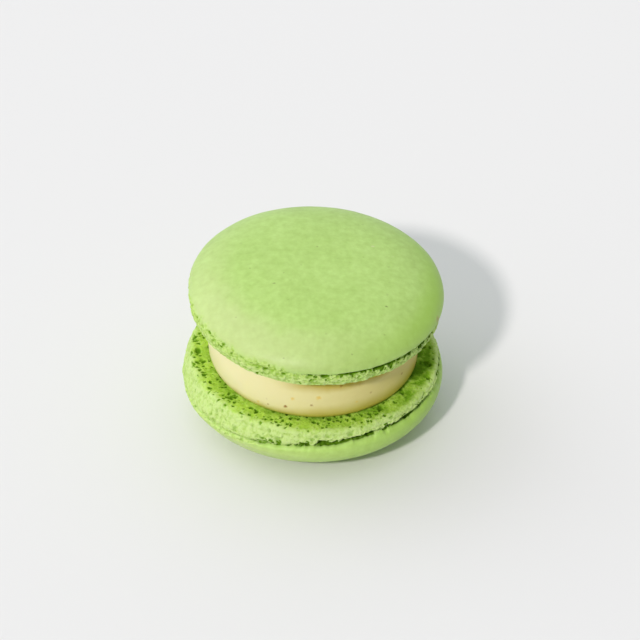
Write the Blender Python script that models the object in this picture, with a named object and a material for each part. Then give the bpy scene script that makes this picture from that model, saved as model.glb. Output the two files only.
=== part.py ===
# French macaron: two baked almond shells with a thick layer of cream between them.
# The lower shell lies on its smooth cap, the upper one is right way up.
# Metres, +Z up, +X to the right of the best side, which faces -Y.
# The origin is at the middle of the bottom of the whole macaron.

import math

import bmesh
import bpy
from mathutils import Euler, Vector

# Each shell is one baked piece. Its own frame has the flat face at z = 0 and the cap above.
LOWER_SHELL = {
    "radius": 0.0254,         # at the widest ring of the cap
    "foot_radius": 0.0245,    # the rough band that rises in the oven
    "foot_height": 0.0033,    # from the flat face to the crack under the cap
    "foot_edge": 0.0010,      # rounding between the flat face and the foot
    "foot_swell": 0.0003,     # how far the foot stands out between its edges
    "crack_depth": 0.0007,
    "lip_height": 0.0007,     # from the crack up to the widest ring
    "dome_height": 0.0094,    # from the widest ring to the tip of the cap
    "dome_fullness": 3.6,     # 2 is an ellipse, more has flatter top and fuller shoulder
    "rest_radius": 0.0080,    # the cap is flat inside this radius, where it is lain on
    "ruffle": 0.00028,        # how far the foot's waves stand in and out
    "phase": 0.4,
    "slump": 0.0022,          # the foot is this much taller on its slumped side
    "spread": 0.0006,         # and this much wider under the cap
    "slump_towards": 165.0,   # degrees round from +X in the shell's own frame
    "thin": 0.0016,           # the foot is this much lower on its thin side
    "thin_towards": 18.0,
}
UPPER_SHELL = {
    "radius": 0.0249,
    "foot_radius": 0.0242,
    "foot_height": 0.0031,
    "foot_edge": 0.0009,
    "foot_swell": 0.0003,
    "crack_depth": 0.0006,
    "lip_height": 0.0006,
    "dome_height": 0.0068,
    "dome_fullness": 2.45,
    "rest_radius": 0.0,
    "ruffle": 0.00024,
    "phase": 1.9,
    "slump": 0.0003,
    "spread": 0.0003,
    "slump_towards": 180.0,
    "thin": 0.0,
    "thin_towards": 0.0,
}

FILLING_RADIUS = 0.0204
FILLING_SWELL = 0.0003        # the cream bulges this far between the shells
FILLING_EDGE = 0.0006
CREAM_SPACE = 0.0110          # from face to face, where the cream is
GAP = 0.0003                  # left between pieces that touch

STACK_LEAN = (1.2, 1.9)       # degrees: how far the lower face dips to the front, to the right
LID_LEAN = (1.2, 3.0)         # the upper shell dips a little more to the right
LID_EXTRA = math.radians(LID_LEAN[1] - STACK_LEAN[1])
LID_LIFT = FILLING_RADIUS * math.sin(LID_EXTRA)    # so that its right side clears the cream

SEGMENTS = 84                 # steps round a shell
DOME_STEPS = 11
FOOT_STEPS = 4
LIP_STEPS = 3
EDGE_STEPS = 2
FILLING_SEGMENTS = 72
FILLING_STEPS = 5
RUFFLE_WAVES = ((9, 0.45), (14, 0.35), (21, 0.20))   # waves round the foot, share of each
ROUND_WAVES = ((2, 0.0045), (3, 0.0030), (5, 0.0012))    # how far from round, as a share
RUFFLE_RISE = 0.5             # the crack wanders up and down by this share of the ruffle
RISE_PHASE = 2.7
SLUMP_FOCUS = 3               # how narrow the slumped side is
THIN_FOCUS = 2                # and the thin side
SAME_PLACE = 1e-6             # points nearer than this are one

SHELL_GREEN = (0.50, 0.70, 0.22, 1.0)
CREAM_YELLOW = (0.77, 0.70, 0.33, 1.0)


def clear_scene():
    for obj in list(bpy.data.objects):
        bpy.data.objects.remove(obj, do_unlink=True)


def baked_material(name, colour, roughness):
    material = bpy.data.materials.new(name)
    material.use_nodes = True
    surface = material.node_tree.nodes["Principled BSDF"]
    surface.inputs["Base Color"].default_value = colour
    surface.inputs["Roughness"].default_value = roughness
    surface.inputs["Metallic"].default_value = 0.0
    return material


def dome_point(shell, share):
    """(radius, height) on the cap, share of the way from its widest ring to its flat spot or tip.

    The cap is a superellipse: (r / radius)^fullness + (z / dome_height)^2 = 1.
    """
    fullness = shell["dome_fullness"]
    turn = share * math.acos((shell["rest_radius"] / shell["radius"]) ** (fullness / 2))
    ring = shell["foot_height"] + shell["lip_height"]
    radius = shell["radius"] * math.cos(turn) ** (2 / fullness)
    return radius, ring + shell["dome_height"] * math.sin(turn)


def shell_outline(shell):
    """Half outline (radius, height) from the middle of the flat face to the tip of the cap."""
    foot = shell["foot_radius"]
    height = shell["foot_height"]
    edge = shell["foot_edge"]
    outline = [(0.0, 0.0)]
    for step in range(EDGE_STEPS + 1):
        turn = math.pi / 2 * step / EDGE_STEPS
        outline.append((foot - edge + edge * math.sin(turn), edge - edge * math.cos(turn)))
    for step in range(1, FOOT_STEPS):
        share = step / FOOT_STEPS
        swell = shell["foot_swell"] * math.sin(math.pi * share)
        outline.append((foot + swell, edge + share * (height - edge)))
    crack = foot - shell["crack_depth"]
    ring = height + shell["lip_height"]
    # The lip of the cap is a quarter of an ellipse, from the crack out to the widest ring.
    for step in range(LIP_STEPS):
        turn = math.pi / 2 * step / LIP_STEPS
        radius = crack + (shell["radius"] - crack) * math.sin(turn)
        outline.append((radius, ring - shell["lip_height"] * math.cos(turn)))
    for step in range(DOME_STEPS):
        outline.append(dome_point(shell, step / DOME_STEPS))
    tip_radius, tip = dome_point(shell, 1.0)
    if shell["rest_radius"]:
        outline.append((tip_radius, tip))
    outline.append((0.0, tip))
    return outline


def filling_outline(height):
    """Half outline of the layer of cream: a disc with a slightly swollen side."""
    outline = [(0.0, 0.0), (FILLING_RADIUS - FILLING_EDGE, 0.0)]
    for step in range(FILLING_STEPS + 1):
        share = step / FILLING_STEPS
        swell = FILLING_SWELL * math.sin(math.pi * share)
        outline.append((FILLING_RADIUS + swell, FILLING_EDGE + share * (height - 2 * FILLING_EDGE)))
    outline += [(FILLING_RADIUS - FILLING_EDGE, height), (0.0, height)]
    return outline


def turned(outline, segments):
    """A closed solid of revolution about Z, as a bmesh."""
    shape = bmesh.new()
    verts = [shape.verts.new((radius, 0.0, height)) for radius, height in outline]
    edges = [shape.edges.new(pair) for pair in zip(verts, verts[1:])]
    bmesh.ops.spin(
        shape,
        geom=verts + edges,
        cent=(0.0, 0.0, 0.0),
        axis=(0.0, 0.0, 1.0),
        angle=math.tau,
        steps=segments,
        use_merge=True,
    )
    bmesh.ops.remove_doubles(shape, verts=shape.verts, dist=SAME_PLACE)
    bmesh.ops.recalc_face_normals(shape, faces=shape.faces)
    return shape


def waves(parts, angle, phase):
    return sum(share * math.sin(count * angle + phase * (count + 1)) for count, share in parts)


def ease(share):
    share = min(max(share, 0.0), 1.0)
    return share * share * (3 - 2 * share)


def on_side(angle, towards, focus):
    """1 on the side that lies this many degrees round, falling to 0 on the other side."""
    return ((1 + math.cos(angle - math.radians(towards))) / 2) ** focus


def bake_unevenly(shape, shell):
    """Takes a turned shell out of round, ruffles its foot and lets the crack wander."""
    crack = shell["foot_height"]
    lip = shell["lip_height"]
    for vert in shape.verts:
        height = vert.co.z
        radius = math.hypot(vert.co.x, vert.co.y)
        if radius == 0.0:
            continue
        angle = math.atan2(vert.co.y, vert.co.x)
        slump = on_side(angle, shell["slump_towards"], SLUMP_FOCUS)
        thin = on_side(angle, shell["thin_towards"], THIN_FOCUS)
        reach = ease(radius / shell["foot_radius"])
        # The ruffle is strongest half way up the foot and gone at the widest ring of the cap.
        rise = height / (crack + lip)
        in_foot = reach * math.sin(math.pi * rise) if rise < 1.0 else 0.0
        outward = shell["ruffle"] * waves(RUFFLE_WAVES, angle, shell["phase"]) * in_foot
        upward = RUFFLE_RISE * shell["ruffle"] * waves(RUFFLE_WAVES, angle, RISE_PHASE) * in_foot
        # Where the foot slumped it is taller, spreads under the cap and shuts the crack.
        near_crack = 1 - abs(height - crack) / (crack if height < crack else lip)
        outward += shell["spread"] * slump * ease(near_crack)
        if abs(height - crack) < SAME_PLACE:
            outward += shell["crack_depth"] * slump
        if height < 2 * crack:
            upward += shell["slump"] * slump * math.sin(math.pi * height / (2 * crack))
        # On its thin side the crack runs nearer to the flat face.
        upward -= shell["thin"] * thin * max(near_crack, 0.0)
        grown = 1 + reach * waves(ROUND_WAVES, angle, shell["phase"]) + outward / radius
        vert.co.x *= grown
        vert.co.y *= grown
        vert.co.z += upward


def level_resting_spot(shape, shell, turn):
    """Skews the cap so that its flat spot is level once the shell has been turned by turn."""
    up = turn.inverted() @ Vector((0.0, 0.0, 1.0))
    ring = dome_point(shell, 0.0)[1]
    spot = dome_point(shell, 1.0)[1]
    for vert in shape.verts:
        share = ease((vert.co.z - ring) / (spot - ring))
        vert.co.z -= share * (up.x * vert.co.x + up.y * vert.co.y) / up.z


def solid(name, shape, material, parent, place, turn):
    mesh = bpy.data.meshes.new(name)
    shape.to_mesh(mesh)
    shape.free()
    mesh.materials.append(material)
    mesh.shade_smooth()
    mesh.set_sharp_from_angle(angle=math.radians(50))
    obj = bpy.data.objects.new(name, mesh)
    bpy.context.scene.collection.objects.link(obj)
    obj.parent = parent
    obj.location = place
    obj.rotation_euler = turn
    return obj


def leaned(lean):
    """Turn that dips a level piece towards -Y and towards +X by these degrees."""
    return Euler((math.radians(lean[0]), math.radians(lean[1]), 0.0))


def upside_down(lean):
    """The same lean for a shell that lies on its cap."""
    return Euler((math.radians(lean[0]) + math.pi, math.radians(lean[1]), 0.0))


def lower_shell(material, stack, face):
    turn = upside_down(STACK_LEAN)
    shape = turned(shell_outline(LOWER_SHELL), SEGMENTS)
    bake_unevenly(shape, LOWER_SHELL)
    level_resting_spot(shape, LOWER_SHELL, turn.to_matrix())
    return solid("lower_shell", shape, material, stack, face, turn)


def cream_filling(material, stack, face):
    turn = leaned(STACK_LEAN)
    height = CREAM_SPACE - 2 * GAP
    shape = turned(filling_outline(height), FILLING_SEGMENTS)
    # The top of the cream follows the lid, so it is thicker on the left.
    for vert in shape.verts:
        vert.co.z += vert.co.z / height * (LID_LIFT - vert.co.x * math.tan(LID_EXTRA))
    place = face + turn.to_matrix() @ Vector((0.0, 0.0, GAP))
    return solid("cream_filling", shape, material, stack, place, turn)


def upper_shell(material, stack, face):
    shape = turned(shell_outline(UPPER_SHELL), SEGMENTS)
    bake_unevenly(shape, UPPER_SHELL)
    over = leaned(STACK_LEAN).to_matrix() @ Vector((0.0, 0.0, CREAM_SPACE))
    lift = Vector((0.0, 0.0, LID_LIFT))
    return solid("upper_shell", shape, material, stack, face + over + lift, leaned(LID_LEAN))


def stand_at_origin(stack, pieces):
    """Moves the stack so that the bottom middle of its box is the origin."""
    bpy.context.view_layer.update()
    points = [piece.matrix_world @ vert.co for piece in pieces for vert in piece.data.vertices]
    low = Vector(min(point[axis] for point in points) for axis in range(3))
    high = Vector(max(point[axis] for point in points) for axis in range(3))
    stack.location -= Vector(((low.x + high.x) / 2, (low.y + high.y) / 2, low.z))
    bpy.context.view_layer.update()


def main():
    clear_scene()
    baked = baked_material("baked_almond_shell", SHELL_GREEN, 0.75)
    cream = baked_material("vanilla_cream", CREAM_YELLOW, 0.45)
    stack = bpy.data.objects.new("macaron", None)
    bpy.context.scene.collection.objects.link(stack)
    face = Vector((0.0, 0.0, 0.0))
    pieces = [
        lower_shell(baked, stack, face),
        cream_filling(cream, stack, face),
        upper_shell(baked, stack, face),
    ]
    stand_at_origin(stack, pieces)


main()
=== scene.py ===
import math

import bpy
import numpy as np
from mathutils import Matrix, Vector


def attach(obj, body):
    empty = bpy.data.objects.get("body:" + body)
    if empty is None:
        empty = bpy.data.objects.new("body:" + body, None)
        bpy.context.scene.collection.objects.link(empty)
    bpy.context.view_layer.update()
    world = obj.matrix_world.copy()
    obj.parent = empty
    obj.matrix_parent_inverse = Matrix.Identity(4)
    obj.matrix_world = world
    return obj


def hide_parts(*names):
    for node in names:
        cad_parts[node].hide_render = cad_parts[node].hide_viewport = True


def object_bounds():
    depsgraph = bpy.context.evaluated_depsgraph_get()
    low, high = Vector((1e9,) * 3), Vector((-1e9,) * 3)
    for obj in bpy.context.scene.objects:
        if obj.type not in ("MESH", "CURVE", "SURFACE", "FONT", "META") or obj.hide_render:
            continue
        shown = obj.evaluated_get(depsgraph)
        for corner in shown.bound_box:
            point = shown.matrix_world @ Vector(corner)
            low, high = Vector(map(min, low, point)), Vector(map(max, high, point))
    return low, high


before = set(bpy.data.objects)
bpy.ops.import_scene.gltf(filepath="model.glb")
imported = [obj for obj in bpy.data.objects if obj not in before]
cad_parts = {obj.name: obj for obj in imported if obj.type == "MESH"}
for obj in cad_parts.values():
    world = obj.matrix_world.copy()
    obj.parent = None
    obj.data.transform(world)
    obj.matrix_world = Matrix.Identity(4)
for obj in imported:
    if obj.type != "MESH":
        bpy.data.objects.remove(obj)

# A french macaron: two baked almond shells, the lower one on its cap, and cream between them.
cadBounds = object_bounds()
mm = 0.001                    # the values below are in millimetres and degrees, the frame is in metres
fullTurn = 2 * math.pi


# Numbers that vary over a surface

def eased(low, high, value):
    # 0 below low, 1 above high, and a smooth s-curve between them
    share = np.clip((value - low) / (high - low), 0, 1)
    return share * share * (3 - 2 * share)


def randomAt(x, y, z, salt):
    # One fixed random number from 0 to 1 for each whole-number place, from mixing its bits.
    mixed = x * 374761393 + y * 668265263 + z * 1103515245 + salt * 97531357
    mixed = (mixed ^ (mixed >> 13)) * 1274126177
    mixed = mixed ^ (mixed >> 16)
    return (mixed & 0xFFFFF) / 0xFFFFF


def softNoise(points, size, salt):
    # Random numbers at the corners of cubes of this size, blended by eased weights, from -1 to 1.
    scaled = points / size
    corner = np.floor(scaled).astype(np.int64)
    share = scaled - corner
    share = share * share * (3 - 2 * share)
    total = np.zeros(points.shape[:-1])
    for step in np.ndindex(2, 2, 2):
        x, y, z = (corner[..., axis] + step[axis] for axis in range(3))
        weight = np.ones(points.shape[:-1])
        for axis in range(3):
            weight = weight * (share[..., axis] if step[axis] else 1 - share[..., axis])
        total += weight * randomAt(x, y, z, salt)
    return 2 * total - 1


def layeredNoise(points, size, layers, salt, keep=0.55):
    # Soft noise, plus the same at half the size and keep of the strength, and so on.
    total, strength, full = 0, 1, 0
    for layer in range(layers):
        total = total + strength * softNoise(points, size / 2.03 ** layer, salt + layer)
        full += strength
        strength *= keep
    return total / full


def bubbleField(band, size, chance, smallest, largest, salt, longest=1.0):
    # Ball-shaped bumps or pits on a band. The band is cut into cells of this size, and a cell holds one ball,
    # at random, with this chance: sqrt(1 - (distance / radius)^2) inside it and 0 outside. Where balls
    # overlap, the taller counts. The answer is (share of full height, height in mm).
    angle, along, middle = band
    around = max(int(round(fullTurn * middle / size)), 3)
    u = (angle / fullTurn) % 1.0 * around
    v = along / size
    cellU, cellV = np.floor(u).astype(np.int64), np.floor(v).astype(np.int64)
    share, height = np.zeros(u.shape), np.zeros(u.shape)
    zero = np.zeros(u.shape, np.int64)
    for stepU in (-1, 0, 1):
        for stepV in (-1, 0, 1):
            placeU, placeV = cellU + stepU, cellV + stepV
            key = placeU % around
            draw = [randomAt(key, placeV, zero + number, salt) for number in range(6)]
            du = (u - placeU - draw[0]) * size
            dv = (v - placeV - draw[1]) * size
            turn = draw[2] * math.pi
            stretch = 1 + (longest - 1) * draw[3]
            major = (du * np.cos(turn) + dv * np.sin(turn)) / stretch
            minor = -du * np.sin(turn) + dv * np.cos(turn)
            radius = smallest + (largest - smallest) * draw[4] ** 2
            ball = np.sqrt(np.clip(1 - (major ** 2 + minor ** 2) / radius ** 2, 0, 1))
            ball = np.where(draw[5] < chance, ball, 0)
            height = np.maximum(height, ball * radius)
            share = np.maximum(share, ball)
    return share, height


# Where the pieces are, from the frame

def polygonValues(node, name, width):
    polygons = bpy.data.objects[node].data.polygons
    values = np.empty(len(polygons) * width, np.float32)
    polygons.foreach_get(name, values)
    return values.reshape(-1, width).astype(float)


def flatFace(node, facing):
    # Middle and outward normal of the node's flat face that looks up (1) or down (-1).
    # Both are means over its triangles, weighted by their areas.
    normals = polygonValues(node, "normal", 3)
    flat = normals[:, 2] * facing > 0.99
    areas = polygonValues(node, "area", 1)[flat]
    middle = (polygonValues(node, "center", 3)[flat] * areas).sum(0) / areas.sum() / mm
    normal = (normals[flat] * areas).sum(0)
    return middle, normal / np.linalg.norm(normal)


def shellPlace(node, facing):
    # Middle of the flat face and three directions: +X and +Y laid in the face, and the way to the cap.
    middle, outward = flatFace(node, facing)
    toCap = -outward
    right = np.array([1.0, 0.0, 0.0]) - toCap * toCap[0]
    right /= np.linalg.norm(right)
    back = np.array([0.0, 1.0, 0.0]) - toCap * toCap[1]
    back -= right * (back @ right)
    back /= np.linalg.norm(back)
    return middle, right, back, toCap


def widestRing(node, place, angles, sectors=84):
    # The furthest that the node reaches from its axis in each sector, read off between the sectors' middles.
    middle, right, back = place[:3]
    mesh = bpy.data.objects[node].data
    points = np.empty(len(mesh.vertices) * 3, np.float32)
    mesh.vertices.foreach_get("co", points)
    points = points.reshape(-1, 3) / mm - middle
    x, y = points @ right, points @ back
    sector = np.round(np.arctan2(y, x) / fullTurn * sectors).astype(int) % sectors
    reach = np.zeros(sectors)
    np.maximum.at(reach, sector, np.hypot(x, y))
    return np.interp(angles, np.arange(sectors) * fullTurn / sectors, reach, period=fullTurn)


def newObject(name, data):
    made = bpy.data.objects.new(name, data)
    bpy.context.scene.collection.objects.link(made)
    return made


# Closed pieces from grids of points

def gridNormals(points):
    # The cross product of the steps round and along the grid, which closes round its second side.
    along = np.gradient(points, axis=0)
    around = np.roll(points, -1, axis=1) - np.roll(points, 1, axis=1)
    normals = np.cross(around, along)
    return normals / np.maximum(np.linalg.norm(normals, axis=-1, keepdims=True), 1e-12)


def closedPiece(name, points, firstPole, lastPole, values, material):
    # Rows of points round a piece, with a point in the middle of each end. Neighbouring rows are joined by
    # four-sided faces, and the end rows to their middles by triangles.
    rows, columns = points.shape[:2]
    vertices = np.concatenate([points.reshape(-1, 3), [firstPole], [lastPole]]) * mm
    number = np.arange(rows * columns).reshape(rows, columns)
    after = np.roll(number, -1, axis=1)
    quads = np.stack([number[:-1], after[:-1], after[1:], number[1:]], axis=-1).reshape(-1, 4)
    first = np.stack([after[0], number[0], np.full(columns, rows * columns)], axis=-1)
    last = np.stack([number[-1], after[-1], np.full(columns, rows * columns + 1)], axis=-1)
    ends = np.concatenate([first, last])
    # Turned round where the grid runs the other way, so that faces point outwards.
    corners = vertices[quads[:, :3]]
    middle = vertices.mean(0)
    outward = np.cross(corners[:, 1] - corners[:, 0], corners[:, 2] - corners[:, 0])
    if (outward * (corners[:, 0] - middle)).sum() < 0:
        quads, ends = quads[:, ::-1], ends[:, ::-1]
    mesh = bpy.data.meshes.new(name)
    mesh.from_pydata(vertices.tolist(), [], quads.tolist() + ends.tolist())
    for label, value in values.items():
        filled = np.zeros(rows * columns + 2, np.float32)
        filled[:-2] = np.broadcast_to(value, (rows, columns)).ravel()
        filled[-2] = filled[:columns].mean()
        filled[-1] = filled[-columns - 2:-2].mean()
        mesh.attributes.new(label, "FLOAT", "POINT").data.foreach_set("value", filled)
    mesh.validate()
    mesh.shade_smooth()
    mesh.materials.append(material)
    print(f"{name}: {len(mesh.vertices)} points, {2 * len(quads) + len(ends)} triangles")
    return newObject(name, mesh)


# Shader node groups and the nodes they are made of

def newGroup(name, inputs, outputs):
    group = bpy.data.node_groups.new(name, "ShaderNodeTree")
    kinds = {"Color": "NodeSocketColor", "Value": "NodeSocketFloat", "Vector": "NodeSocketVector"}
    for label, (kind, value) in inputs.items():
        socket = group.interface.new_socket(label, in_out="INPUT", socket_type=kinds[kind])
        socket.default_value = value
    for label, kind in outputs.items():
        group.interface.new_socket(label, in_out="OUTPUT", socket_type=kinds[kind])
    return group, group.nodes.new("NodeGroupInput").outputs, group.nodes.new("NodeGroupOutput").inputs


def feed(tree, socket, value):
    # A socket of another node is linked, and a plain number or colour is set.
    if isinstance(value, bpy.types.NodeSocket):
        tree.links.new(value, socket)
    else:
        socket.default_value = value


def noiseNode(tree, scale, detail, roughness, stretch=None):
    noise = tree.nodes.new("ShaderNodeTexNoise")
    vector = tree.nodes.new("ShaderNodeTexCoord").outputs["Object"]
    if stretch is not None:
        mapping = tree.nodes.new("ShaderNodeMapping")
        mapping.inputs["Scale"].default_value = stretch
        feed(tree, mapping.inputs["Vector"], vector)
        vector = mapping.outputs["Vector"]
    feed(tree, noise.inputs["Vector"], vector)
    feed(tree, noise.inputs["Scale"], scale)
    noise.inputs["Detail"].default_value = detail
    noise.inputs["Roughness"].default_value = roughness
    return noise.outputs["Fac"]


def rangeNode(tree, value, fromLow, fromHigh, toLow, toHigh):
    node = tree.nodes.new("ShaderNodeMapRange")
    for label, amount in zip(("Value", "From Min", "From Max", "To Min", "To Max"),
                             (value, fromLow, fromHigh, toLow, toHigh)):
        feed(tree, node.inputs[label], amount)
    return node.outputs["Result"]


def mathNode(tree, operation, first, second=0.0, clamp=False):
    node = tree.nodes.new("ShaderNodeMath")
    node.operation = operation
    node.use_clamp = clamp
    feed(tree, node.inputs[0], first)
    feed(tree, node.inputs[1], second)
    return node.outputs["Value"]


def vectorNode(tree, operation, first, second):
    node = tree.nodes.new("ShaderNodeVectorMath")
    node.operation = operation
    feed(tree, node.inputs[0], first)
    feed(tree, node.inputs[1], second)
    return node.outputs["Value" if operation == "LENGTH" else "Vector"]


def mixNode(tree, share, first, second):
    node = tree.nodes.new("ShaderNodeMix")
    node.data_type = "RGBA"
    feed(tree, node.inputs["Factor"], share)
    feed(tree, node.inputs[6], first)
    feed(tree, node.inputs[7], second)
    return node.outputs[2]


def attributeNode(tree, name):
    node = tree.nodes.new("ShaderNodeAttribute")
    node.attribute_name = name
    return node.outputs["Fac"]


def groupNode(tree, group, **values):
    node = tree.nodes.new("ShaderNodeGroup")
    node.node_tree = group
    for label, value in values.items():
        feed(tree, node.inputs[label.replace("_", " ")], value)
    return node.outputs


def makeMottle():
    # A colour made lighter and darker in broad patches and in fine grain. Darker places are richer in colour.
    group, given, out = newGroup(
        "mottledColour",
        {"Colour": ("Color", (0.5, 0.5, 0.5, 1)), "Patch Scale": ("Value", 100.0), "Patch": ("Value", 0.1),
         "Grain Scale": ("Value", 1200.0), "Grain": ("Value", 0.1)},
        {"Colour": "Color"})
    patches = noiseNode(group, given["Patch Scale"], 3.0, 0.55)
    grain = noiseNode(group, given["Grain Scale"], 2.0, 0.6)
    patchTone = mathNode(group, "MULTIPLY", rangeNode(group, patches, 0.25, 0.75, -1.0, 1.0), given["Patch"])
    grainTone = mathNode(group, "MULTIPLY", rangeNode(group, grain, 0.25, 0.75, -1.0, 1.0), given["Grain"])
    tone = mathNode(group, "ADD", patchTone, grainTone)
    shaded = group.nodes.new("ShaderNodeHueSaturation")
    feed(group, shaded.inputs["Color"], given["Colour"])
    feed(group, shaded.inputs["Value"], mathNode(group, "ADD", tone, 1.0))
    feed(group, shaded.inputs["Saturation"], rangeNode(group, tone, -0.3, 0.3, 1.12, 0.88))
    feed(group, out["Colour"], shaded.outputs["Color"])
    return group


def makeCrumb():
    # Open crumb: moist and rich in colour where bare, pale where dry and sugary. As its shade and mottling
    # value rises it first turns to the moist colour, then to nearly black: painted shade in pits, crevices
    # and the crack, and mottling.
    group, given, out = newGroup(
        "openCrumb",
        {"Bare": ("Color", (0.2, 0.4, 0.03, 1)), "Moist": ("Color", (0.15, 0.3, 0.02, 1)),
         "Dry": ("Color", (0.5, 0.7, 0.2, 1)), "Deep": ("Color", (0.03, 0.07, 0.005, 1)),
         "Dryness": ("Value", 0.5), "Pore": ("Value", 0.0), "Grain Scale": ("Value", 2500.0)},
        {"Colour": "Color", "Height": "Value"})
    grain = noiseNode(group, given["Grain Scale"], 3.0, 0.65)
    uneven = rangeNode(group, grain, 0.3, 0.7, -0.30, 0.30)
    dryness = mathNode(group, "ADD", given["Dryness"], uneven, clamp=True)
    surface = mixNode(group, dryness, given["Bare"], given["Dry"])
    ragged = mathNode(group, "ADD", given["Pore"], rangeNode(group, grain, 0.3, 0.7, 0.10, -0.10))
    surface = mixNode(group, rangeNode(group, ragged, 0.05, 0.60, 0.0, 1.0), surface, given["Moist"])
    surface = mixNode(group, rangeNode(group, ragged, 0.50, 1.20, 0.0, 1.0), surface, given["Deep"])
    feed(group, out["Colour"], surface)
    feed(group, out["Height"], mathNode(group, "SUBTRACT", grain, given["Pore"]))
    return group


def makeFlecks():
    # Small scattered spots: 1 in the middle of some of the cells of a cell pattern, 0 elsewhere.
    group, given, out = newGroup(
        "smallFlecks",
        {"Scale": ("Value", 400.0), "Size": ("Value", 0.15), "Share": ("Value", 0.2)},
        {"Mask": "Value"})
    cells = group.nodes.new("ShaderNodeTexVoronoi")
    where = group.nodes.new("ShaderNodeTexCoord").outputs["Object"]
    feed(group, cells.inputs["Vector"], where)
    feed(group, cells.inputs["Scale"], given["Scale"])
    spot = rangeNode(group, cells.outputs["Distance"], 0.0, given["Size"], 1.0, 0.0)
    chosen = group.nodes.new("ShaderNodeSeparateColor")
    feed(group, chosen.inputs["Color"], cells.outputs["Color"])
    kept = mathNode(group, "LESS_THAN", chosen.outputs["Red"], given["Share"])
    feed(group, out["Mask"], mathNode(group, "MULTIPLY", spot, kept))
    return group


def makeSpot():
    # One placed spot with a ragged edge: 1 at its place, falling to 0 at its size. Stretch flattens it.
    group, given, out = newGroup(
        "placedSpot",
        {"Place": ("Vector", (0, 0, 0)), "Stretch": ("Vector", (1, 1, 1)), "Size": ("Value", 0.0003)},
        {"Mask": "Value"})
    where = group.nodes.new("ShaderNodeTexCoord").outputs["Object"]
    offset = vectorNode(group, "SUBTRACT", where, given["Place"])
    offset = vectorNode(group, "MULTIPLY", offset, given["Stretch"])
    length = vectorNode(group, "LENGTH", offset, (0, 0, 0))
    uneven = rangeNode(group, noiseNode(group, 3000.0, 2.0, 0.5), 0.3, 0.7, 0.7, 1.3)
    far = mathNode(group, "DIVIDE", mathNode(group, "MULTIPLY", length, uneven), given["Size"])
    feed(group, out["Mask"], rangeNode(group, far, 0.35, 1.0, 1.0, 0.0))
    return group


mottledColour, openCrumb, smallFlecks, placedSpot = makeMottle(), makeCrumb(), makeFlecks(), makeSpot()


def spotsNode(tree, spots):
    # The strongest of several placed spots. Each is (place in metres, how many times smaller it is each way,
    # size in millimetres, strength).
    mask = None
    for place, stretch, size, strength in spots:
        spot = groupNode(tree, placedSpot, Place=tuple(place), Stretch=stretch, Size=size * mm)["Mask"]
        spot = mathNode(tree, "MULTIPLY", spot, strength)
        mask = spot if mask is None else mathNode(tree, "MAXIMUM", mask, spot)
    return mask


def newMaterial(name):
    material = bpy.data.materials.new(name)
    material.use_nodes = True
    return material, material.node_tree, material.node_tree.nodes["Principled BSDF"]


def bumpNode(tree, height, distance):
    # bumps this many millimetres high where the height is 1
    node = tree.nodes.new("ShaderNodeBump")
    node.inputs["Distance"].default_value = distance * mm
    feed(tree, node.inputs["Height"], height)
    return node.outputs["Normal"]


def bakedMaterial(name, look, flecks, paleFlecks, toasted):
    # Smooth baked skin with a slight sheen on the cap, open crumb on the foot and the flat face.
    material, tree, surface = newMaterial(name)
    colour = groupNode(tree, mottledColour, Colour=look["skin"], Patch_Scale=look["patchScale"],
                       Patch=look["patch"], Grain_Scale=look["grainScale"], Grain=look["grain"])["Colour"]
    scattered = groupNode(tree, smallFlecks, Scale=look["fleckScale"], Size=look["fleckSize"],
                          Share=look["fleckShare"])["Mask"]
    scattered = mathNode(tree, "MULTIPLY", scattered, look["fleckStrength"])
    colour = mixNode(tree, scattered, colour, look["fleckColour"])
    if flecks:
        colour = mixNode(tree, spotsNode(tree, flecks), colour, look["fleckColour"])
    if paleFlecks:
        colour = mixNode(tree, spotsNode(tree, paleFlecks), colour, look["paleAndHighlight"])
    # Painted highlight: the cap's shoulder is turned lighter on one side.
    colour = mixNode(tree, attributeNode(tree, "paleAndHighlight"), colour, look["paleAndHighlight"])
    # Painted shade: the cap's edge is turned richer and darker in colour on another side.
    colour = mixNode(tree, attributeNode(tree, "shadedEdge"), colour, look["shadedEdge"])
    # The crumb's shade and mottling value paints shade into its pits, crevices and crack.
    crumb = groupNode(tree, openCrumb, Bare=look["bare"], Moist=look["moistAndShade"], Dry=look["dry"],
                      Deep=look["deepShade"], Dryness=attributeNode(tree, "dry"), Pore=attributeNode(tree, "shadeAndMottle"),
                      Grain_Scale=look["crumbScale"])
    crumbShare = attributeNode(tree, "crumb")
    colour = mixNode(tree, crumbShare, colour, crumb["Colour"])
    if toasted:
        colour = mixNode(tree, spotsNode(tree, toasted), colour, look["toast"])
    feed(tree, surface.inputs["Base Color"], colour)
    feed(tree, surface.inputs["Roughness"], rangeNode(tree, crumbShare, 0.0, 1.0, *look["roughness"]))
    feed(tree, surface.inputs["Coat Weight"], rangeNode(tree, crumbShare, 0.0, 1.0, look["sheen"], 0.0))
    surface.inputs["Coat Roughness"].default_value = look["sheenRoughness"]
    pebbles = mathNode(tree, "MULTIPLY", noiseNode(tree, look["pebbleScale"], 4.0, 0.6),
                       rangeNode(tree, crumbShare, 0.0, 1.0, look["pebble"], 0.0))
    rough = mathNode(tree, "MULTIPLY", crumbShare, look["crumbBump"])
    rough = mathNode(tree, "MULTIPLY", crumb["Height"], rough)
    feed(tree, surface.inputs["Normal"], bumpNode(tree, mathNode(tree, "ADD", pebbles, rough), 1.0))
    surface.inputs["Subsurface Weight"].default_value = look["glow"]
    surface.inputs["Subsurface Radius"].default_value = look["glowReach"]
    surface.inputs["Subsurface Scale"].default_value = look["glowDepth"] * mm
    surface.inputs["Specular IOR Level"].default_value = look["gloss"]
    return material


# The two shells

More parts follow.
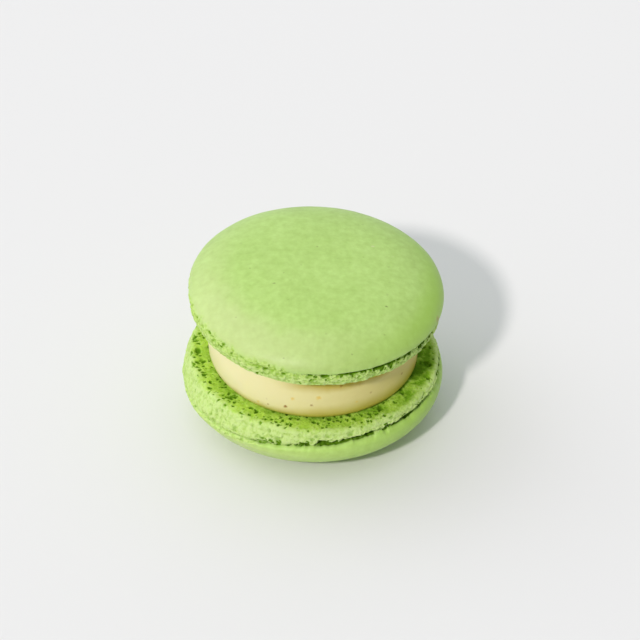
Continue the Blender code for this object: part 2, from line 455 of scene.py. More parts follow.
lowerShell = {
    "node": "lower_shell",
    "facing": 1,              # its flat face looks up
    "radius": 25.4,           # the sizes that the frame's solid was made with
    "footRadius": 24.5,
    "footHeight": 3.3,
    "footEdge": 1.0,
    "lipHeight": 0.7,
    "domeHeight": 9.4,
    "fullness": 3.6,
    "restRadius": 8.0,
    "slump": 2.2,             # how much taller the foot is on its slumped side
    "spread": 0.6,            # and how much wider
    "slumpTowards": -165.0,   # degrees from +X, seen from above
    "rows": {"hidden": 4, "face": 28, "edge": 9, "foot": 15, "crack": 9, "lip": 6, "dome": 28, "rest": 4},
    "salt": 11,
    "bead": 0.06,             # height of the small beads on the foot
    "pitDepth": 0.7,          # share of a pit's radius that it is deep
    "pitting": 1.35,          # share of the cells that hold a pit, where the face is most open
    "pitTowards": -150.0,     # the side where the face is most open
    "footPits": 0.38,
    "dryFrom": 3.7,           # the crumb is moist up to here, counted outwards over the face, and dry from
    "dryTo": 6.3,             # here on
    "footDry": 0.92,
    "creviceShade": 0.14,          # how dark the painted shade between the beads is
    "thin": 1.7,              # how much lower the crack runs on its thin side
    "thinTowards": -18.0,
    "mottledTowards": -12.0,      # the face is more mottled and darker on this side
    "crackDepth": 1.5,
    "crackWidth": 0.95,
    "crackWander": 0.40,
    "crackTorn": 1.8,         # how far the crumb's side of it is torn away in places
    "crackPits": 0.60,        # how many more pits there are beside it where it gapes
    "crackStrong": -32.0,     # the crack gapes on this side
    "crackClosed": -165.0,    # and is shut on this side
    "crackClosedWidth": 42.0,
    "overrun": 1.7,           # how far the crumb runs over the cap's edge where the crack is shut
    "swellOfCap": 0.10,       # broad unevenness of the cap
    "paleAndHighlight": 0.40,            # how light the cap's shoulder is painted on this side, a painted highlight
    "highlightTowards": -150.0,
    "shadedEdge": 1.0,              # how much richer and darker the cap's edge is painted on this side, painted shade
    "shadedEdgeTowards": 0.0,
    "shadeUnderCap": 0.08,       # how much darker the foot is painted close under the cap, painted shade
}

upperShell = {
    "node": "upper_shell",
    "facing": -1,
    "radius": 24.9,
    "footRadius": 24.2,
    "footHeight": 3.1,
    "footEdge": 0.9,
    "lipHeight": 0.6,
    "domeHeight": 6.8,
    "fullness": 2.45,
    "restRadius": 0.0,
    "slump": 0.3,
    "spread": 0.3,
    "slumpTowards": 180.0,
    "rows": {"hidden": 4, "face": 16, "edge": 8, "foot": 18, "crack": 9, "lip": 7, "dome": 42, "rest": 0},
    "salt": 47,
    "bead": 0.15,
    "pitDepth": 0.9,
    "pitting": 0.9,
    "pitTowards": 180.0,
    "footPits": 0.7,
    "dryFrom": 4.2,
    "dryTo": 6.0,
    "footDry": 0.82,
    "creviceShade": 0.30,
    "thin": 0.0,
    "thinTowards": 0.0,
    "mottledTowards": 0.0,
    "crackDepth": 1.3,
    "crackWidth": 1.25,
    "crackWander": 0.25,
    "crackTorn": 0.7,
    "crackPits": 0.35,
    "crackStrong": -30.0,
    "crackClosed": -160.0,
    "crackClosedWidth": 50.0,
    "overrun": 1.3,
    "swellOfCap": 0.14,
    "paleAndHighlight": 0.42,
    "highlightTowards": -135.0,
    "shadedEdge": 0.8,
    "shadedEdgeTowards": 0.0,
    "shadeUnderCap": 0.28,
}

columns = 900
crackCircle = 25.0            # the crack's changes are drawn from noise round a circle of this radius
angles = np.linspace(-math.pi, math.pi, columns, endpoint=False)

# Bubbles of the crumb: size of a cell, share of the cells that hold one, its smallest and largest radius,
# and how many times longer than wide it may be
bubbles = {
    "bead": (0.80, 1.0, 0.36, 0.62, 1.0),
    "fineBead": (0.42, 0.9, 0.18, 0.32, 1.0),
    "broadPit": (1.7, 0.60, 0.32, 0.68, 1.5),
    "middlingPit": (1.0, 0.55, 0.22, 0.42, 1.6),
    "smallPit": (0.55, 0.30, 0.10, 0.20, 1.4),
    "tornPit": (0.75, 1.0, 0.14, 0.42, 2.0),
}

# What both shells share, in millimetres
relief = {
    "hiddenFace": 18.6,       # nothing inside this radius shows, as the cream covers it
    "footSwell": 0.3,         # how far the foot bulges
    "lump": 0.17,             # how far the flat face and the foot are uneven
    "ruffle": 0.22,           # how far the foot is drawn in and out
    "pastCrack": 0.35,        # how far the crumb runs past the crack
    "raggedEnd": 0.45,        # and how far that wanders
    "softEnd": 0.12,          # half the width in which it ends
    "broadWarp": 0.25,        # how far beads and pits are pulled out of line
    "fineWarp": 0.11,
    "tornReach": 1.20,        # how far from the crack its torn pits reach over the crumb
    "tornOverCap": 0.35,      # and over the cap
    "tornDepth": 0.6,         # share of a torn pit's radius that it is deep
    "unevenEdge": 0.06,       # how far the cap's edge is uneven
    "leastLip": 0.12,         # height that is left of the lip over the crack
    "leastFoot": 0.15,        # and of the foot under it
    "mouthIn": 0.25,          # how much further in the crack's side at the cap lies
}


def towards(angle, degrees, narrow=1):
    # 1 on the side that lies this way, falling smoothly to 0 on the opposite side.
    return ((1 + np.cos(angle - math.radians(degrees))) / 2) ** narrow


def steps(count):
    return (np.arange(count) / max(count, 1))[:, None]


def circleOf(angle):
    return np.stack([np.cos(angle), np.sin(angle), 0 * angle], axis=-1)


def capHeight(shell, radius):
    # height over the widest ring, by the cap's superellipse (r / R)^fullness + (h / H)^2 = 1
    return shell["domeHeight"] * np.sqrt(1 - np.clip(radius / shell["radius"], 0, 1) ** shell["fullness"])


def shellOutline(shell, reach, opening, wander):
    # Half outlines, one for each column, from the flat face round the foot, into the crack, round the lip
    # and over the cap. The edge is a quarter circle, the foot bulges by a sine, the crack is a rounded
    # notch, the lip a quarter ellipse, and the cap a superellipse.
    rows = shell["rows"]
    grown = reach / shell["radius"]
    foot, edge = shell["footRadius"] * grown, shell["footEdge"]
    ring = shell["footHeight"] + shell["lipHeight"]
    thinner = shell["thin"] * towards(angles, shell["thinTowards"], 2)
    high = shell["footHeight"] - thinner + wander + opening["width"] / 2
    high = np.minimum(high, ring - relief["leastLip"])
    low = np.maximum(high - opening["width"] - opening["torn"], edge + relief["leastFoot"])
    still = np.zeros_like(reach)
    outline, zones = [], []

    def add(zone, radius, height):
        outline.append(np.broadcast_arrays(radius + still, height + still))
        zones.extend([zone] * len(outline[-1][0]))

    inner = relief["hiddenFace"] + still
    add("hidden", inner * steps(rows["hidden"] + 1)[1:], 0.0)
    share = steps(rows["face"])
    add("face", inner + (foot - edge - inner) * share, 0.0 * share)
    turn = steps(rows["edge"]) * math.pi / 2
    add("edge", foot - edge + edge * np.sin(turn), edge - edge * np.cos(turn))
    share = steps(rows["foot"])
    add("foot", foot + relief["footSwell"] * np.sin(math.pi * share), edge + (low - edge) * share)
    share = steps(rows["crack"])
    mouth = foot - relief["mouthIn"]
    notch = opening["depth"] * np.sin(math.pi * share) ** 0.6
    add("crack", foot + (mouth - foot) * share - notch, low + (high - low) * share)
    turn = steps(rows["lip"]) * math.pi / 2
    add("lip", mouth + (reach - mouth) * np.sin(turn), ring - (ring - high) * np.cos(turn))
    turn = steps(rows["dome"]) * math.acos((shell["restRadius"] / shell["radius"]) ** (shell["fullness"] / 2))
    add("dome", reach * np.cos(turn) ** (2 / shell["fullness"]), ring + shell["domeHeight"] * np.sin(turn))
    tip = ring + capHeight(shell, shell["restRadius"])
    if rows["rest"]:
        share = steps(rows["rest"])
        add("rest", shell["restRadius"] * (1 - share) * grown, tip + 0.0 * share)
    radius = np.concatenate([part[0] for part in outline])
    height = np.concatenate([part[1] for part in outline])
    return radius, height, np.array(zones), tip


def slumpedOver(shell, radius, height):
    # On its slumped side the foot is taller, by a sine of the height, and spreads out under the cap.
    crack, lip = shell["footHeight"], shell["lipHeight"]
    side = towards(angles, shell["slumpTowards"], 3)
    near = 1 - np.abs(height - crack) / np.where(height < crack, crack, lip)
    wider = shell["spread"] * side * eased(0, 1, near)
    taller = shell["slump"] * side * np.sin(math.pi * np.clip(height / (2 * crack), 0, 1))
    return radius + wider, height + taller


def crackOpening(shell, place):
    # The crack under the cap opens and shuts round the shell: its width and depth follow a noise on a
    # circle. It gapes on one side and is shut on another. The answers are how wide and deep it is, how far
    # the crumb's side is torn away, how far it is parted and shut from 0 to 1, and how far it wanders.
    circle = circleOf(angles) * crackCircle + place[0]
    salt = shell["salt"]
    gape = 0.35 + 0.65 * towards(angles, shell["crackStrong"], 4)
    gaps = 1.6 * layeredNoise(circle, 1.9, 3, salt + 20, 0.7)
    parted = eased(-0.30, 0.20, gaps + 0.5 * (gape - 0.65)) * gape
    away = np.abs((np.degrees(angles) - shell["crackClosed"] + 180) % 360 - 180)
    shut = 1 - eased(shell["crackClosedWidth"], shell["crackClosedWidth"] + 14, away)
    parted = parted * (1 - shut)
    width = shell["crackWidth"] * (0.20 + 0.80 * parted) * (1 + 0.5 * softNoise(circle, 0.8, salt + 24))
    width = width * (1 - 0.9 * shut)
    depth = shell["crackDepth"] * (0.10 + 0.90 * parted) * (1 + 0.3 * softNoise(circle, 1.3, salt + 25))
    depth = depth * (1 - shut)
    torn = np.clip(layeredNoise(circle, 1.2, 3, salt + 27, 0.8) + 0.1, 0, 1) * gape * (1 - shut)
    torn = torn * shell["crackTorn"]
    wander = layeredNoise(circle, 3.0, 2, salt + 26) + 0.25 * softNoise(circle, 0.7, salt + 28)
    wander = shell["crackWander"] * wander
    return {"width": width, "depth": depth, "torn": torn, "parted": parted, "shut": shut}, wander


def bubblesOf(kind, band, salt, chance=1.0):
    size, share, smallest, largest, longest = bubbles[kind]
    return bubbleField(band, size, chance * share, smallest, largest, salt, longest)


def shellPiece(name, shell, place, material):
    # A shell's outline turned round its axis, pushed in and out along its normals by the relief
    middle, right, back, toCap = place
    reach = widestRing(shell["node"], place, angles)
    opening, wander = crackOpening(shell, place)
    radius, height, zones, tip = shellOutline(shell, reach, opening, wander)
    radius, height = slumpedOver(shell, radius, height)
    x, y = radius * np.cos(angles), radius * np.sin(angles)
    ring = shell["footHeight"] + shell["lipHeight"]
    if shell["restRadius"]:
        # The cap is skewed so that the spot it lies on is level.
        height = height - eased(ring, tip, height) * (x * right[2] + y * back[2]) / toCap[2]
    base = middle + x[..., None] * right + y[..., None] * back + height[..., None] * toCap
    normals = gridNormals(base)
    if (normals * (base - base.mean((0, 1)))).sum() < 0:
        normals = -normals

    def rowsOf(*names):
        return np.isin(zones, names).astype(float)[:, None]

    salt = shell["salt"]
    edge, foot, crack = rowsOf("edge"), rowsOf("foot"), rowsOf("crack")
    dome, overCrack = rowsOf("dome"), rowsOf("lip", "dome", "rest")
    # Distance over the surface: outwards from where the face starts to show, and past the crack
    outwards = np.zeros((len(zones), 1))
    outwards[1:, 0] = np.cumsum(np.hypot(np.diff(radius, axis=0), np.diff(height, axis=0)).mean(1))
    outwards -= outwards[np.argmax(zones == "face")]
    pastCrack = outwards - outwards[np.argmax(zones == "lip")]

    # The crumb covers the face and the foot, and runs over the cap's edge where the crack is shut.
    ragged = layeredNoise(base, 1.1, 3, salt + 15)
    end = relief["pastCrack"] - 0.25 * opening["parted"] + relief["raggedEnd"] * ragged
    end = end + opening["shut"] * (shell["overrun"] + 0.8 * ragged)
    softEnd = relief["softEnd"] + 0.6 * opening["shut"]
    overrun = overCrack * (1 - eased(end - softEnd, end + softEnd, pastCrack))
    crumb = np.clip(rowsOf("hidden", "face", "edge", "foot", "crack") + overrun, 0, 1)
    shows = eased(-0.1, 0.9, outwards) * crumb
    onFoot = np.clip(edge * eased(4.6, 6.2, outwards) + foot + 0.3 * crack + overrun, 0, 1)
    onFace = np.clip(shows - onFoot, 0, 1)

    # Lumps everywhere in the crumb, beads on the foot, and pits that gather in patches
    aside, along = (relief["broadWarp"] * softNoise(base, 0.8, salt + broadSalt)
                    + relief["fineWarp"] * softNoise(base, 0.32, salt + fineSalt)
                    for broadSalt, fineSalt in ((1, 31), (2, 32)))
    band = (angles + aside / shell["footRadius"], outwards + along, shell["footRadius"] - 1.5)
    patchy = layeredNoise(base, 3.2, 3, salt + 3)
    openSide = towards(angles, shell["pitTowards"], 2)
    inner = 1 - eased(shell["dryFrom"], shell["dryTo"] + 0.5, outwards + 0.9 * patchy)
    pitChance = shell["pitting"] * np.clip((0.25 + 0.75 * openSide) * eased(-0.50, 0.40, patchy), 0.05, 1)
    pitChance = pitChance * (0.25 + 0.75 * np.maximum(inner, shell["footPits"] * onFoot))
    lumps = layeredNoise(base, 1.7, 4, salt + 4, 0.66)
    beads = bubblesOf("bead", band, salt + 5)[0]
    fineBeads = bubblesOf("fineBead", band, salt + 6)[0]
    broad = bubblesOf("broadPit", band, salt + 7, pitChance)
    middling = bubblesOf("middlingPit", band, salt + 8, pitChance)
    small = bubblesOf("smallPit", band, salt + 9, pitChance)
    pits = np.maximum(np.maximum(broad[1], middling[1]), small[1])
    pitShare = np.maximum(np.maximum(broad[0] * 0.75, middling[0] * 0.9), small[0] * 0.7)
    # More pits break up the two sides of the crack, further on the crumb's side than on the cap's.
    beforeCrack = outwards[np.argmax(zones == "crack")] - outwards
    besideCrack = np.exp(-(np.maximum(beforeCrack, 0) / relief["tornReach"]) ** 2
                         - (np.maximum(pastCrack, 0) / relief["tornOverCap"]) ** 2)
    besideCrack = besideCrack * (1 - opening["shut"])
    torn = bubblesOf("tornPit", band, salt + 10, 0.40 + shell["crackPits"] * opening["parted"])
    tornShare = torn[0] * besideCrack

    beading = beads - 0.55 + 0.5 * (fineBeads - 0.5)
    push = relief["lump"] * lumps * shows
    push += shell["bead"] * beading * (onFoot + 0.3 * onFace)
    push -= shell["pitDepth"] * pits * (onFace + shell["footPits"] * onFoot)
    push -= relief["tornDepth"] * torn[1] * besideCrack
    push += relief["ruffle"] * softNoise(base * [1, 1, 0.6], 3.2, salt + 12) * onFoot
    # The cap's edge is a little uneven, and the cap is gently wavy, but not where it lies on its spot.
    atEdge = overCrack * (1 - eased(0.5, 2.0, pastCrack))
    push += relief["unevenEdge"] * layeredNoise(base, 2.4, 3, salt + 13) * atEdge
    wavy = shell["swellOfCap"] * layeredNoise(base, 11.0, 3, salt + 14) * eased(0, 1.5, height - ring)
    push += wavy * dome * (eased(0.0, 1.2, tip - height) if shell["restRadius"] else 1.0)
    points = base + push[..., None] * normals

    # What the material reads, each from 0 to 1
    # Between the beads it is darker, the more so the lower the place lies: painted shade in the crevices.
    between = 0.5 * (1 - beads) + 0.3 * (1 - fineBeads) + 0.35 * (0.5 - lumps)
    creviceShade = shell["creviceShade"] * eased(0.30, 0.85, between) * onFoot
    # The bare face is mottled, more so and darker on one side, and darker close to the cream, where it is
    # painted shade.
    mottledSide = towards(angles, shell["mottledTowards"], 6)
    mottleAndShade = (0.28 + 0.42 * mottledSide) * eased(-0.35 - 0.7 * mottledSide, 0.45, -lumps + 0.5 * patchy) * onFace * inner
    # Painted shade: darker close to the cream, where it meets the face.
    mottleAndShade += 0.18 * (1 - eased(1.2, 3.2, outwards + 1.2 * patchy)) * eased(-0.4, 0.2, -lumps) * onFace
    # The darkest counts, of the painted shade in pits, crevices, torn pits and the crack with its edge, and
    # of the mottling.
    shadeAndMottle = np.maximum(0.95 * eased(0.10, 0.80, pitShare) * (onFace + shell["footPits"] * onFoot), creviceShade)
    shadeAndMottle = np.maximum(shadeAndMottle, (0.65 + 0.25 * opening["parted"]) * eased(0.10, 0.70, tornShare))
    # Painted shade in the crack and along its edge
    inCrack = np.zeros((len(zones), 1))
    inCrack[zones == "crack"] = np.sin(math.pi * (0.08 + 0.92 * steps(shell["rows"]["crack"]))) ** 0.4
    nearCrack = overCrack * (1 - eased(0.10, 0.60, pastCrack + 0.60 * ragged))
    shadeAndMottle = np.maximum(shadeAndMottle, (inCrack + 0.8 * nearCrack) * eased(0.08, 0.55, opening["parted"] + 0.2 * ragged))
    shadeAndMottle = np.clip(np.maximum(shadeAndMottle, mottleAndShade), 0, 1)
    # Sugary crumb lies towards the rim, and most on top of the beads. Close under the cap the foot is painted
    # darker, as painted shade.
    dry = eased(shell["dryFrom"], shell["dryTo"], outwards + 0.8 * patchy + 0.7 * lumps) * shell["footDry"]
    dry = dry - shell["shadeUnderCap"] * eased(0.30, 0.90, height / ring) * onFoot
    dry = np.clip(dry + 0.16 * lumps + 0.20 * (beads - 0.5) * onFoot, 0, 1)
    # The cap's shoulder is painted lighter on one side, a painted highlight, and its edge richer and darker
    # in colour on another, painted shade.
    shoulder = eased(0.5, 2.5, pastCrack) * (1 - eased(6.0, 13.0, pastCrack + 1.5 * patchy))
    paleAndHighlight = shell["paleAndHighlight"] * shoulder * towards(angles, shell["highlightTowards"], 3)
    shadedEdge = shell["shadedEdge"] * (1 - eased(4.0, 9.0, pastCrack + patchy))
    shadedEdge = shadedEdge * towards(angles, shell["shadedEdgeTowards"], 4)
    values = {"crumb": crumb, "dry": dry, "shadeAndMottle": shadeAndMottle, "paleAndHighlight": paleAndHighlight, "shadedEdge": shadedEdge}
    return closedPiece(name, points, middle, middle + tip * toCap, values, material)


def capPlace(shell, place, azimuth, radius):
    # A place on the cap, in metres, from its azimuth and its distance from the axis
    middle, right, back, toCap = place
    turn = math.radians(azimuth)
    height = shell["footHeight"] + shell["lipHeight"] + capHeight(shell, radius)
    point = middle + radius * (math.cos(turn) * right + math.sin(turn) * back) + height * toCap
    return point * mm


bakedLook = {
    "skin": (0.430, 0.640, 0.165, 1),
    "patchScale": 70.0,
    "patch": 0.06,
    "grainScale": 700.0,
    "grain": 0.09,
    "fleckScale": 420.0,
    "fleckSize": 0.15,
    "fleckShare": 0.22,
    "fleckStrength": 0.30,
    "fleckColour": (0.17, 0.25, 0.04, 1),
    # the colour of the light flecks and of the painted highlight on the cap's shoulder
    "paleAndHighlight": (0.62, 0.66, 0.34, 1),
    "bare": (0.430, 0.670, 0.078, 1),
    # the colour of the moist mottling and of the lighter painted shade in pits, crevices and the crack
    "moistAndShade": (0.170, 0.360, 0.014, 1),
    "dry": (0.575, 0.752, 0.272, 1),
    # nearly black painted shade deep in the pits and the crack
    "deepShade": (0.040, 0.110, 0.002, 1),
    # the colour of the painted shade on the cap's edge
    "shadedEdge": (0.360, 0.610, 0.075, 1),
    "toast": (0.38, 0.25, 0.07, 1),
    "crumbScale": 1500.0,
    "roughness": (0.50, 0.90),       # of the skin and of the crumb
    "sheen": 0.8,
    "sheenRoughness": 0.48,
    "pebbleScale": 1500.0,
    "pebble": 0.05,
    "crumbBump": 0.25,
    "glow": 0.10,
    "glowReach": (0.6, 1.0, 0.25),
    "glowDepth": 0.8,
    "gloss": 0.06,
}

# Places on the cap as (azimuth, distance from the axis, size, strength)
capFlecks = [
    (-146.0, 10.5, 0.35, 0.7), (95.0, 5.5, 0.30, 0.6), (-175.0, 13.5, 0.30, 0.5), (-39.0, 16.5, 0.35, 0.8),
    (-53.5, 21.0, 0.25, 0.6), (-139.0, 21.0, 0.25, 0.7), (-106.0, 24.0, 0.25, 0.8), (-74.0, 22.8, 0.25, 0.8),
    (-158.0, 7.5, 0.22, 0.5), (-120.0, 12.0, 0.20, 0.4), (20.0, 9.0, 0.22, 0.5), (60.0, 17.0, 0.25, 0.5),
]
paleFlecks = [(34.0, 12.5, 0.45, 0.7), (18.0, 15.0, 0.30, 0.4)]
toastedPlaces = [((0.0240, -0.0082, 0.0277), (1, 1, 1), 0.9, 0.6)]    # on the upper foot, as in spotsNode


def onCap(shell, place, spots):
    return [(capPlace(shell, place, azimuth, radius), (1.0, 1.6, 0.2), size, strength)
            for azimuth, radius, size, strength in spots]


lowerPlace = shellPlace("lower_shell", lowerShell["facing"])
lowerLook = dict(bakedLook, skin=(0.455, 0.690, 0.155, 1))    # skin painted a little lighter than the upper one's, as painted light on the cap that faces down
lowerAlmond = bakedMaterial("lowerAlmondShell", lowerLook, [], [], [])
lowerPiece = shellPiece("lowerBakedShell", lowerShell, lowerPlace, lowerAlmond)
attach(lowerPiece, "root")
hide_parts("lower_shell")

upperPlace = shellPlace("upper_shell", upperShell["facing"])
upperAlmond = bakedMaterial("upperAlmondShell", bakedLook, onCap(upperShell, upperPlace, capFlecks),
                            onCap(upperShell, upperPlace, paleFlecks), toastedPlaces)
upperPiece = shellPiece("upperBakedShell", upperShell, upperPlace, upperAlmond)
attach(upperPiece, "root")
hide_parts("upper_shell")


# The cream

cream = {
    "node": "cream_filling",
    "radius": 20.4,
    "swell": 0.3,             # it bulges this far between the shells
    "edge": 1.3,              # rounding where it meets a shell
    "into": 0.15,             # how far it reaches into each shell, so that no gap shows
    "rows": {"bottom": 5, "side": 60, "top": 5},
    "columns": 720,
    "wave": 0.10,
    "salt": 83,
}

creamLook = {
    "cream": (0.755, 0.680, 0.270, 1),
    "patchScale": 70.0,
    "patch": 0.03,
    "grainScale": 700.0,
    "grain": 0.02,
    "speckScale": 330.0,
    "speckSize": 0.12,
    "speckShare": 0.05,
    "speckStrength": 0.5,
    "speckColour": (0.42, 0.22, 0.05, 1),
    "redBrown": (0.33, 0.15, 0.02, 1),
    "orange": (0.78, 0.53, 0.04, 1),
    # Places on the side as (azimuth, height over the floor, size, strength)
    "specks": {
        "redBrown": [(-105.0, 15.7, 0.45, 0.9), (-115.0, 15.2, 0.32, 0.5), (-75.0, 20.7, 0.40, 0.6),
                     (-34.0, 17.0, 0.42, 0.6), (-91.0, 16.6, 0.38, 0.6), (-57.5, 17.1, 0.32, 0.4)],
        "orange": [(-101.0, 18.0, 0.50, 0.6), (-87.0, 18.5, 0.60, 0.6), (-121.0, 15.0, 0.40, 0.5),
                   (-140.0, 24.2, 0.60, 0.7), (-66.0, 16.0, 0.35, 0.4)],
    },
    # painted light on the side towards the light, painted shade at the bottom, and painted shade round the
    # far side and under the foot
    "litPale": (0.840, 0.790, 0.450, 1),
    "ochreShade": (0.52, 0.44, 0.035, 1),
    "amberShade": (0.48, 0.37, 0.015, 1),
    "roughness": 0.42,
    "gloss": 0.25,
    "smearScale": 260.0,
    "smear": 0.03,            # height of the smears left by spreading
    "glow": 0.25,             # how much light goes in and comes out again, its reach for each colour,
    "glowReach": (1.0, 0.8, 0.3),
    "glowDepth": 1.6,         # and how deep it goes
}


def creamPlace(azimuth, height):
    # A place on the cream's side, in metres, from its azimuth and its height over the floor
    turn = math.radians(azimuth)
    axis = flatFace(cream["node"], -1)[0]
    reach = cream["radius"] + 0.8 * cream["swell"]
    return ((axis[0] + reach * math.cos(turn)) * mm, (axis[1] + reach * math.sin(turn)) * mm, height * mm)


def creamMaterial(look):
    material, tree, surface = newMaterial("vanillaCream")
    colour = groupNode(tree, mottledColour, Colour=look["cream"], Patch_Scale=look["patchScale"],
                       Patch=look["patch"], Grain_Scale=look["grainScale"], Grain=look["grain"])["Colour"]
    specks = groupNode(tree, smallFlecks, Scale=look["speckScale"], Size=look["speckSize"],
                       Share=look["speckShare"])["Mask"]
    # Painted light and painted shade on the cream's side
    for tint in ("litPale", "ochreShade", "amberShade"):
        colour = mixNode(tree, attributeNode(tree, tint), colour, look[tint])
    specks = mathNode(tree, "MULTIPLY", specks, look["speckStrength"])
    colour = mixNode(tree, specks, colour, look["speckColour"])
    for tint, places in look["specks"].items():
        spots = [(creamPlace(azimuth, height), (1, 1, 1), size, strength)
                 for azimuth, height, size, strength in places]
        colour = mixNode(tree, spotsNode(tree, spots), colour, look[tint])
    feed(tree, surface.inputs["Base Color"], colour)
    surface.inputs["Roughness"].default_value = look["roughness"]
    surface.inputs["Specular IOR Level"].default_value = look["gloss"]
    smear = noiseNode(tree, look["smearScale"], 3.0, 0.5, stretch=(1.0, 1.0, 3.0))
    feed(tree, surface.inputs["Normal"], bumpNode(tree, smear, look["smear"]))
    surface.inputs["Subsurface Weight"].default_value = look["glow"]
    surface.inputs["Subsurface Radius"].default_value = look["glowReach"]
    surface.inputs["Subsurface Scale"].default_value = look["glowDepth"] * mm
    return material


def creamPiece(name, cream, material):
    # A disc between the two flat faces: the side bulges by a sine and its ends are rounded in by quarter
    # circles.
    lowMiddle, lowNormal = flatFace("lower_shell", 1)
    highMiddle, highNormal = flatFace("upper_shell", -1)
    axis = flatFace(cream["node"], -1)[0]
    angle = np.linspace(-math.pi, math.pi, cream["columns"], endpoint=False)
    rows = cream["rows"]
    side = np.linspace(0, 1, rows["side"])[:, None]
    thick = (highMiddle - lowMiddle) @ lowNormal
    fromEnd = np.minimum(side, 1 - side) * thick
    inFromEdge = 1 - np.clip(fromEnd / cream["edge"], 0, 1)
    rounding = cream["edge"] * (1 - np.sqrt(np.clip(1 - inFromEdge ** 2, 0, 1)))
    radius = cream["radius"] + cream["swell"] * np.sin(math.pi * side) - rounding
    bottom = steps(rows["bottom"] + 1)[1:] * radius[0]
    top = radius[-1] * (1 - steps(rows["top"] + 1)[1:])
    radius = np.concatenate([bottom, radius, top]) + 0 * angle
    level = np.concatenate([0 * bottom, side, 1 + 0 * top])
    flat = axis[:2] + radius[..., None] * circleOf(angle)[None, :, :2]

    def heightOn(middle, normal, away):
        # height of a face's plane under or over each point, moved away from the cream
        return middle[2] - ((flat - middle[:2]) @ normal[:2]) / normal[2] + away

    low = heightOn(lowMiddle, lowNormal, -cream["into"])
    high = heightOn(highMiddle, highNormal, cream["into"])
    base = np.concatenate([flat, (low + (high - low) * level)[..., None]], axis=-1)
    normals = gridNormals(base)
    if (normals * (base - base.mean((0, 1)))).sum() < 0:
        normals = -normals
    onSide = np.concatenate([0 * bottom, np.sin(math.pi * side) ** 0.5, 0 * top])
    push = cream["wave"] * layeredNoise(base, 9.0, 3, cream["salt"]) * onSide
    points = base + push[..., None] * normals
    uneven = 0.04 * layeredNoise(base, 3.0, 3, cream["salt"] + 5)
    # Painted light: lighter on the side towards the light. Painted shade: amber round the other side and
    # close under the foot, and darker ochre at the bottom, reaching higher on the far side.
    litSide = towards(angle, -140, 3) + 0 * level
    farSide = eased(0.15, 0.50, 1 - towards(angle, -150, 2))
    ochreShade = 0.95 * (1 - eased(0.02, 0.20 + 0.18 * farSide, level + uneven))
    underFoot = eased(0.53, 0.74, level + uneven) * farSide * eased(0.25, 0.75, towards(angle, -40))
    amberShade = np.maximum(0.95 * underFoot, 0.58 * towards(angle, 10, 3))
    values = {"litPale": 0.9 * litSide, "ochreShade": ochreShade, "amberShade": amberShade}
    lowPole = np.append(axis[:2], heightOn(lowMiddle, lowNormal, -cream["into"])[0].mean())
    highPole = np.append(axis[:2], heightOn(highMiddle, highNormal, cream["into"])[-1].mean())
    return closedPiece(name, points, lowPole, highPole, values, material)


fillingPiece = creamPiece("creamFilling", cream, creamMaterial(creamLook))
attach(fillingPiece, "root")
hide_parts("cream_filling")


# Floor, light and camera

studio = {
    "floorRadius": 3000.0,
    "floorColour": (0.80, 0.80, 0.80, 1),
    "floorRoughness": 0.6,
    "fillColour": (0.965, 1.0, 1.01, 1),
    "fillLow": 0.31,          # light from near the horizon, and how much more comes from overhead
    "fillOver": 0.52,
    "fillSide": 0.36,         # how much more comes from one side and less from the other
    "fillFrom": (-0.55, 0.84),    # that side, as (to the right, to the back)
    "keyColour": (1.0, 0.93, 0.92),
    "key": 1.88,
    "keySoftness": 5.0,       # degrees across
    "keyLeft": 25.5,          # degrees to the left of the camera
    "keyHeight": 39.5,
    "panel": 9.0,             # a big soft panel on the left, in watts
    "panelSize": 2000.0,
    "panelLeft": 115.0,
    "panelHeight": 35.0,
    "panelFar": 2500.0,
}

view = {
    "elevation": 38.5,
    "fieldOfView": 9.0,
    "across": 125.0,          # how much the frame takes in at the macaron, in millimetres
    "aside": 1.43,            # the aim, from the middle of the macaron's box
    "above": 3.3,
}


def makeFloor(studio):
    rim = circleOf(np.linspace(0, fullTurn, 64, endpoint=False)) * studio["floorRadius"] * mm
    mesh = bpy.data.meshes.new("floor")
    mesh.from_pydata(rim.tolist(), [], [list(range(len(rim)))])
    material, _, surface = newMaterial("paleFloor")
    surface.inputs["Base Color"].default_value = studio["floorColour"]
    surface.inputs["Roughness"].default_value = studio["floorRoughness"]
    mesh.materials.append(material)
    floor = newObject("floor", mesh)


def direction(azimuth, elevation):
    # unit vector towards this side of the macaron and this far up, with 0 straight ahead of the camera
    side, up = math.radians(azimuth), math.radians(elevation)
    return Vector((math.sin(side) * math.cos(up), -math.cos(side) * math.cos(up), math.sin(up)))


def lookFrom(made, away):
    # turned to look back at the macaron from this direction
    made.rotation_euler = (-away).to_track_quat("-Z", "Y").to_euler()


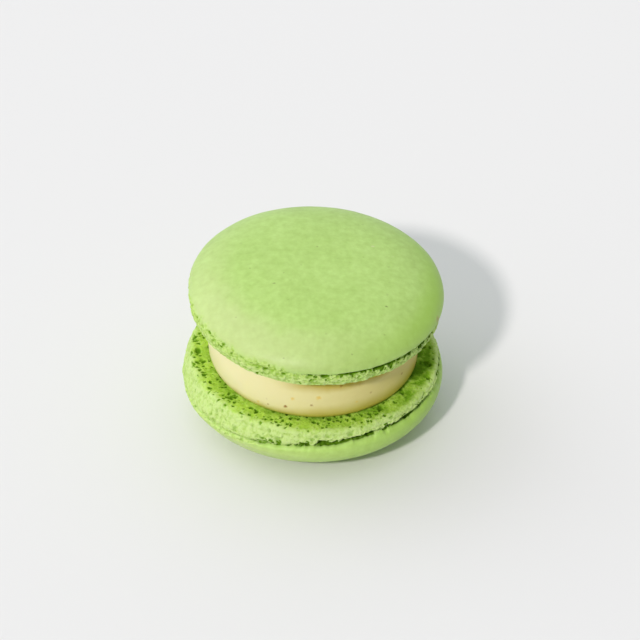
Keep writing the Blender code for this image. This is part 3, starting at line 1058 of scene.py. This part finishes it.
def makeLights(studio):
    world = bpy.data.worlds.new("softStudio")
    bpy.context.scene.world = world
    world.use_nodes = True
    # The fill rises from the horizon to overhead, and falls from one side to the other.
    tree = world.node_tree
    parts = tree.nodes.new("ShaderNodeSeparateXYZ")
    feed(tree, parts.inputs["Vector"], tree.nodes.new("ShaderNodeTexCoord").outputs["Generated"])
    overhead = studio["fillLow"] + studio["fillOver"]
    over = rangeNode(tree, parts.outputs["Z"], 0.0, 1.0, studio["fillLow"], overhead)
    right, back = (amount * studio["fillSide"] for amount in studio["fillFrom"])
    aside = mathNode(tree, "ADD", mathNode(tree, "MULTIPLY", parts.outputs["X"], right),
                     mathNode(tree, "MULTIPLY", parts.outputs["Y"], back))
    background = tree.nodes["Background"]
    background.inputs["Color"].default_value = studio["fillColour"]
    feed(tree, background.inputs["Strength"], mathNode(tree, "ADD", over, aside))
    key = bpy.data.lights.new("key", "SUN")
    key.energy = studio["key"]
    key.color = studio["keyColour"]
    key.angle = math.radians(studio["keySoftness"])
    lookFrom(newObject("key", key), direction(-studio["keyLeft"], studio["keyHeight"]))
    panel = bpy.data.lights.new("softPanel", "AREA")
    panel.energy = studio["panel"]
    panel.color = studio["fillColour"][:3]
    panel.size = studio["panelSize"] * mm
    stand = newObject("softPanel", panel)
    fromPanel = direction(-studio["panelLeft"], studio["panelHeight"])
    stand.location = fromPanel * studio["panelFar"] * mm
    lookFrom(stand, fromPanel)


def makeCamera(view):
    low, high = (Vector(corner) for corner in cadBounds)
    aim = (low + high) / 2 + Vector((view["aside"], 0, view["above"])) * mm
    lens = bpy.data.cameras.new("camera")
    lens.angle = math.radians(view["fieldOfView"])
    lens.clip_start = 0.01
    camera = newObject("camera", lens)
    away = direction(0, view["elevation"])
    camera.location = aim + away * (view["across"] / 2 * mm / math.tan(lens.angle / 2))
    lookFrom(camera, away)
    bpy.context.scene.camera = camera


makeFloor(studio)
makeLights(studio)
makeCamera(view)
bpy.context.scene.view_settings.view_transform = "Standard"
print("floor, lights and camera placed")
